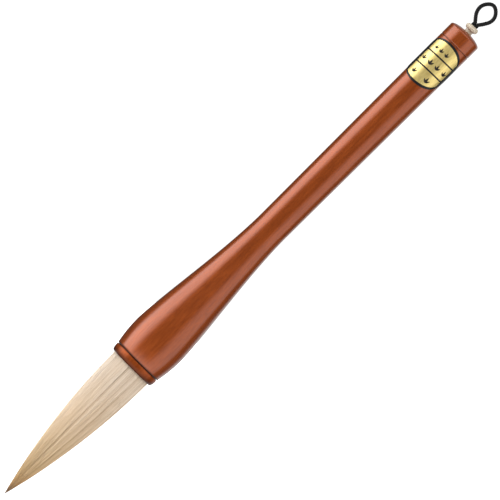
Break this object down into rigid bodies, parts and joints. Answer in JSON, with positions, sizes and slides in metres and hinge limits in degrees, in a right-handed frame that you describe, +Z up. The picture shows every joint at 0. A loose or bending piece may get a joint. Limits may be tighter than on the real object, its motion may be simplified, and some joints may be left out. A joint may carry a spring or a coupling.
{
  "type": "calligraphy brush",
  "caption": "Hanging calligraphy brush: long turned wooden handle with a swelling belly and mouth ring, pointed layered hair tuft, foil label, end cap, bead and cord loop.",
  "frame": {"origin": "top of the inside of the cord loop, where a hook or peg bears", "axes": "+Z up along the brush's own axis, from the hair's tip to the loop; the brush hangs tip down. +X across the loop, in the loop's plane. -Y is the side that the label faces."},
  "size_m": [0.022, 0.022, 0.25],
  "materials": {
    "handle_wood": "reddish brown stained wood with a glossy clear lacquer",
    "ring_wood": "the same wood, darker, glossy lacquer",
    "cap_wood": "reddish brown stained wood with a glossy clear lacquer",
    "label_foil": "pale gold foil paper with black borders, semi-gloss",
    "cover_hair": "cream animal hair, smoothed to a point",
    "mantle_hair": "golden tan animal hair",
    "core_hair": "brown stiff animal hair",
    "binding_thread": "waxed cotton thread",
    "rosin": "dark rosin",
    "glue": "amber glue",
    "cord": "black braided cord",
    "bead_ivory": "ivory-coloured bone or resin, satin"
  },
  "bodies": {
    "handle": {"handle_barrel": "handle_wood", "mouth_ring": "ring_wood", "end_cap": "cap_wood", "label": "label_foil", "cover_hair_root": "cover_hair", "mantle_hair_root": "mantle_hair", "core_hair_root": "core_hair", "root_thread": "binding_thread", "root_seal": "rosin", "glue_bed": "glue"},
    "tuft": {"cover_hair_tip": "cover_hair", "mantle_hair_tip": "mantle_hair", "core_hair_tip": "core_hair"},
    "cord": {"cord_leg_left": "cord", "cord_leg_right": "cord", "cord_knot": "cord"},
    "loop": {"hanging_loop": "cord"},
    "bead": {"bead": "bead_ivory"}
  },
  "joints": [
    {"name": "tuft_bend", "type": "hinge", "parent": "handle", "child": "tuft", "pos_m": [0, 0, -0.2039], "axis": [0, 1, 0], "range_deg": [-35, 35], "stiffness_Nm_per_rad": 0.02},
    {"name": "cord_turn", "type": "hinge", "parent": "handle", "child": "cord", "pos_m": [0, 0, -0.01815], "axis": [0, 0, 1], "continuous": true},
    {"name": "loop_flop", "type": "hinge", "parent": "cord", "child": "loop", "pos_m": [0, 0, -0.00855], "axis": [1, 0, 0], "range_deg": [-80, 80], "stiffness_Nm_per_rad": 0.0001},
    {"name": "bead_slide", "type": "slide", "parent": "cord", "child": "bead", "axis": [0, 0, 1], "range_m": [-0.0004, 0]}
  ]
}
